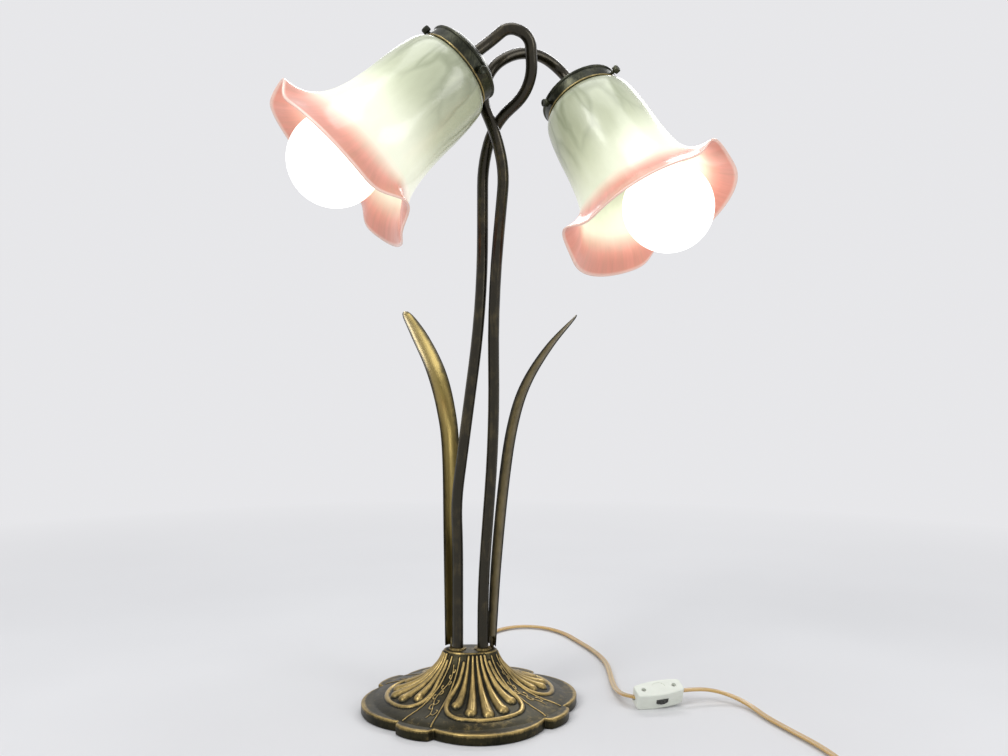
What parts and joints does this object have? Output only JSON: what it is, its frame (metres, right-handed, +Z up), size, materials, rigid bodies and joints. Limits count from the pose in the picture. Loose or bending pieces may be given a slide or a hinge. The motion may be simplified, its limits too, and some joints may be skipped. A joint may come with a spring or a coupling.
{
  "type": "table lamp",
  "caption": "Table lamp with tulip-shaped marbled glass shades on bent bronze stems that rise with long leaves from a round scalloped base.",
  "frame": {"origin": "centre of the felt pad's underside, on the table", "axes": "+Z up, -Y towards the viewer of the picture, +X to their right"},
  "size_m": [0.5462, 0.5701, 0.6133],
  "materials": {
    "antique_bronze": "satin antique finish with rubbed high spots",
    "thumbscrew_brass": "satin",
    "marbled_glass": "opalescent, marbled with pink at the lip",
    "bulb_glass": "frosted",
    "mount_glass": "clear",
    "plated_steel": "plated",
    "brass": "bright",
    "moulded_plastic": "matt",
    "ballast_iron": "rough",
    "felt": "felt",
    "cord_jacket": "translucent golden amber",
    "dark_plastic": "matt",
    "switch_plastic": "off-white with a pale green tint",
    "plug_plastic": "golden amber"
  },
  "bodies": {
    "lamp": {"ballast_ring": "ballast_iron", "base_casting": "antique_bronze", "base_cover_plate": "plated_steel", "coil_ties": "dark_plastic", "cord_bushing": "dark_plastic", "cord_coil": "cord_jacket", "cord_from_switch": "cord_jacket", "cord_tail": "cord_jacket", "cord_to_plug": "cord_jacket", "cord_to_switch": "cord_jacket", "cover_screws": "plated_steel", "felt_pad": "felt", "holder_nuts": "brass", "left_centre_contact": "brass", "left_collar": "antique_bronze", "left_holder": "antique_bronze", "left_lead": "cord_jacket", "left_leaf": "antique_bronze", "left_screw_shell": "brass", "left_shade": "marbled_glass", "left_socket_cap": "brass", "left_socket_insulator": "moulded_plastic", "left_socket_shell": "brass", "left_stem": "antique_bronze", "plug_blades": "brass", "plug_body": "plug_plastic", "right_centre_contact": "brass", "right_collar": "antique_bronze", "right_holder": "antique_bronze", "right_lead": "cord_jacket", "right_leaf": "antique_bronze", "right_screw_shell": "brass", "right_shade": "marbled_glass", "right_socket_cap": "brass", "right_socket_insulator": "moulded_plastic", "right_socket_shell": "brass", "right_stem": "antique_bronze", "stem_locknuts": "plated_steel", "stem_washers": "plated_steel", "switch_axle": "plated_steel", "switch_contacts": "brass", "switch_lower_shell": "switch_plastic", "switch_screws": "plated_steel", "switch_upper_shell": "switch_plastic", "wire_connectors": "moulded_plastic"},
    "left_thumbscrew_1_body": {"left_thumbscrew_1": "thumbscrew_brass"},
    "left_thumbscrew_2_body": {"left_thumbscrew_2": "thumbscrew_brass"},
    "left_thumbscrew_3_body": {"left_thumbscrew_3": "thumbscrew_brass"},
    "left_bulb": {"left_bulb_cap": "plated_steel", "left_bulb_globe": "bulb_glass", "left_bulb_mount": "mount_glass"},
    "right_thumbscrew_1_body": {"right_thumbscrew_1": "thumbscrew_brass"},
    "right_thumbscrew_2_body": {"right_thumbscrew_2": "thumbscrew_brass"},
    "right_thumbscrew_3_body": {"right_thumbscrew_3": "thumbscrew_brass"},
    "right_bulb": {"right_bulb_cap": "plated_steel", "right_bulb_globe": "bulb_glass", "right_bulb_mount": "mount_glass"},
    "switch_wheel_body": {"switch_wheel": "switch_plastic"}
  },
  "joints": [
    {"name": "left_thumbscrew_1_slide", "type": "slide", "parent": "lamp", "child": "left_thumbscrew_1_body", "axis": [-0.6768, -0.103, 0.7289], "range_m": [0, 0.004]},
    {"name": "left_thumbscrew_2_slide", "type": "slide", "parent": "lamp", "child": "left_thumbscrew_2_body", "axis": [0.1691, 0.9, -0.4018], "range_m": [0, 0.004]},
    {"name": "left_thumbscrew_3_slide", "type": "slide", "parent": "lamp", "child": "left_thumbscrew_3_body", "axis": [0.5077, -0.797, -0.3271], "range_m": [0, 0.004]},
    {"name": "left_bulb_slide", "type": "slide", "parent": "lamp", "child": "left_bulb", "axis": [-0.7313, -0.232, -0.6414], "range_m": [0, 0.026]},
    {"name": "right_thumbscrew_1_slide", "type": "slide", "parent": "lamp", "child": "right_thumbscrew_1_body", "axis": [0.7141, -0.4375, 0.5465], "range_m": [0, 0.004]},
    {"name": "right_thumbscrew_2_slide", "type": "slide", "parent": "lamp", "child": "right_thumbscrew_2_body", "axis": [-0.8447, -0.4938, -0.2065], "range_m": [0, 0.004]},
    {"name": "right_thumbscrew_3_slide", "type": "slide", "parent": "lamp", "child": "right_thumbscrew_3_body", "axis": [0.1306, 0.9313, -0.3401], "range_m": [0, 0.004]},
    {"name": "right_bulb_slide", "type": "slide", "parent": "lamp", "child": "right_bulb", "axis": [0.5097, -0.3477, -0.7869], "range_m": [0, 0.026]},
    {"name": "switch_wheel_turn", "type": "hinge", "parent": "lamp", "child": "switch_wheel_body", "pos_m": [0.17545, -0.0057, 0.00996], "axis": [0.0345, -0.3786, 0.9249], "continuous": true}
  ]
}
